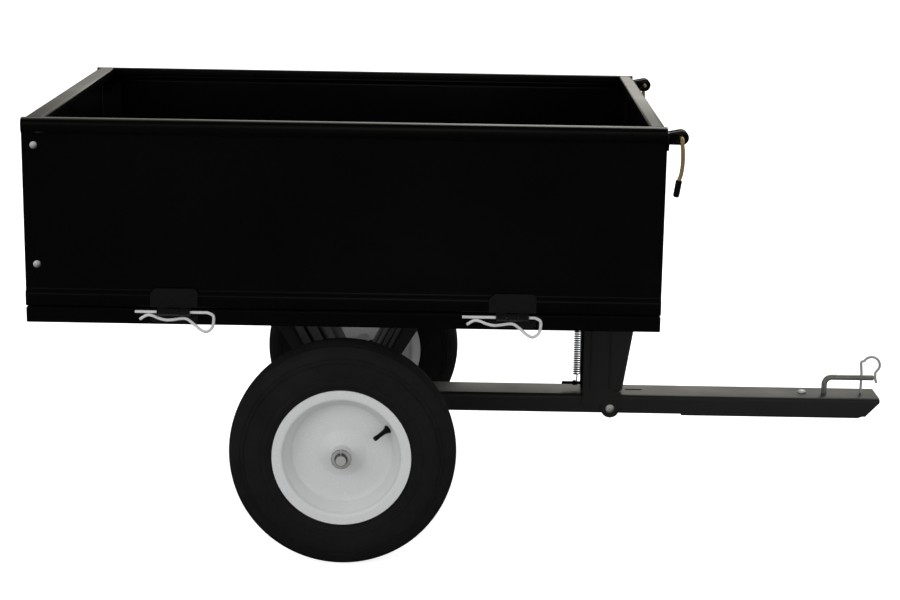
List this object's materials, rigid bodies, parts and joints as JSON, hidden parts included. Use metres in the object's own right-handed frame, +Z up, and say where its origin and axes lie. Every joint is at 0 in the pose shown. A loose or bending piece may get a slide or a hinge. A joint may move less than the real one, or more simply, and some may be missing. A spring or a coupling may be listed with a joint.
{
  "type": "garden tractor trailer",
  "caption": "Low steel utility trailer with a tipping flat box, a removable front gate, a channel drawbar with pin hitch, and a sprung tipping latch.",
  "frame": {"origin": "bottom centre of the whole trailer's bounding box, on the ground", "axes": "+X towards the tow end, +Y to the trailer's left, +Z up"},
  "size_m": [1.5691, 0.8822, 0.7808],
  "materials": {
    "body_paint": "gloss",
    "chassis_paint": "satin",
    "rim_paint": "gloss",
    "tyre_rubber": "matte",
    "valve_rubber": "matte",
    "zinc_plate": "satin",
    "yellow_zinc": "satin",
    "cap_vinyl": "matte",
    "bush_nylon": "matte"
  },
  "bodies": {
    "chassis": {"drawbar": "chassis_paint", "hitch_strap": "chassis_paint", "strap_bolt": "zinc_plate", "axle": "zinc_plate", "bed_prop": "chassis_paint", "spring_anchor_bolt": "zinc_plate", "latch_pivot_bolt": "zinc_plate", "latch_spring": "zinc_plate", "axle_spacer_left": "zinc_plate", "axle_washer_left": "zinc_plate", "split_pin_left": "zinc_plate", "axle_spacer_right": "zinc_plate", "axle_washer_right": "zinc_plate", "split_pin_right": "zinc_plate"},
    "bed": {"bed_tray": "body_paint", "bed_cross_front": "chassis_paint", "striker_bar": "zinc_plate", "axle_leg_front": "chassis_paint", "axle_leg_rear": "chassis_paint", "rear_panel": "body_paint", "axle_plate_left": "chassis_paint", "side_panel_left": "body_paint", "leg_bolt_front_left": "zinc_plate", "leg_bolt_rear_left": "zinc_plate", "rear_corner_bolt_left_lower": "zinc_plate", "rear_corner_bolt_left_upper": "zinc_plate", "upper_leaf_rear_left": "body_paint", "lower_leaf_rear_left": "body_paint", "upper_leaf_front_left": "body_paint", "lower_leaf_front_left": "body_paint", "axle_plate_right": "chassis_paint", "side_panel_right": "body_paint", "leg_bolt_front_right": "zinc_plate", "leg_bolt_rear_right": "zinc_plate", "rear_corner_bolt_right_lower": "zinc_plate", "rear_corner_bolt_right_upper": "zinc_plate", "upper_leaf_rear_right": "body_paint", "lower_leaf_rear_right": "body_paint", "upper_leaf_front_right": "body_paint", "lower_leaf_front_right": "body_paint"},
    "front_gate": {"front_gate": "body_paint"},
    "tipping_latch": {"tipping_latch": "chassis_paint"},
    "hitch_pin": {"hitch_pin": "zinc_plate"},
    "hitch_clip": {"hitch_clip": "zinc_plate"},
    "wheel_left": {"tyre_left": "tyre_rubber", "rim_left": "rim_paint", "hub_bush_left": "bush_nylon", "valve_left": "valve_rubber"},
    "corner_pin_left": {"corner_pin_left": "yellow_zinc", "pin_cap_left": "cap_vinyl"},
    "box_clip_rear_left": {"box_clip_rear_left": "zinc_plate"},
    "box_clip_front_left": {"box_clip_front_left": "zinc_plate"},
    "wheel_right": {"tyre_right": "tyre_rubber", "rim_right": "rim_paint", "hub_bush_right": "bush_nylon", "valve_right": "valve_rubber"},
    "corner_pin_right": {"corner_pin_right": "yellow_zinc", "pin_cap_right": "cap_vinyl"},
    "box_clip_rear_right": {"box_clip_rear_right": "zinc_plate"},
    "box_clip_front_right": {"box_clip_front_right": "zinc_plate"}
  },
  "joints": [
    {"name": "wheel_left_spin", "type": "hinge", "parent": "chassis", "child": "wheel_left", "pos_m": [-0.23455, 0.378, 0.2], "axis": [0, 1, 0], "continuous": true},
    {"name": "wheel_right_spin", "type": "hinge", "parent": "chassis", "child": "wheel_right", "pos_m": [-0.23455, -0.378, 0.2], "axis": [0, 1, 0], "continuous": true},
    {"name": "bed_tip", "type": "hinge", "parent": "chassis", "child": "bed", "pos_m": [-0.23455, 0, 0.2], "axis": [0, -1, 0], "range_deg": [0, 40]},
    {"name": "latch_tilt", "type": "hinge", "parent": "chassis", "child": "tipping_latch", "pos_m": [0.25975, 0, 0.1884], "axis": [0, 1, 0], "range_deg": [0, 12], "stiffness_Nm_per_rad": 8, "springref_deg": -20.05, "deforming": ["latch_spring"]},
    {"name": "gate_swing", "type": "hinge", "parent": "bed", "child": "front_gate", "pos_m": [0.33945, 0, 0.7638], "axis": [0, -1, 0], "range_deg": [0, 95]},
    {"name": "corner_pin_left_pull", "type": "slide", "parent": "bed", "child": "corner_pin_left", "axis": [0, 1, 0], "range_m": [0, 0.024]},
    {"name": "corner_pin_right_pull", "type": "slide", "parent": "bed", "child": "corner_pin_right", "axis": [0, -1, 0], "range_m": [0, 0.024]},
    {"name": "box_clip_rear_left_swing", "type": "hinge", "parent": "bed", "child": "box_clip_rear_left", "pos_m": [-0.52745, 0.3898, 0.4483], "axis": [1, 0, 0], "range_deg": [0, 110]},
    {"name": "box_clip_front_left_swing", "type": "hinge", "parent": "bed", "child": "box_clip_front_left", "pos_m": [0.05835, 0.3898, 0.4483], "axis": [1, 0, 0], "range_deg": [0, 110]},
    {"name": "box_clip_rear_right_swing", "type": "hinge", "parent": "bed", "child": "box_clip_rear_right", "pos_m": [-0.52745, -0.3898, 0.4483], "axis": [-1, 0, 0], "range_deg": [0, 110]},
    {"name": "box_clip_front_right_swing", "type": "hinge", "parent": "bed", "child": "box_clip_front_right", "pos_m": [0.05835, -0.3898, 0.4483], "axis": [-1, 0, 0], "range_deg": [0, 110]},
    {"name": "hitch_pin_lift", "type": "slide", "parent": "chassis", "child": "hitch_pin", "axis": [0, 0, 1], "range_m": [0, 0.1]},
    {"name": "hitch_clip_lift", "type": "slide", "parent": "hitch_pin", "child": "hitch_clip", "axis": [0, 0, 1], "range_m": [0, 0.045]}
  ]
}
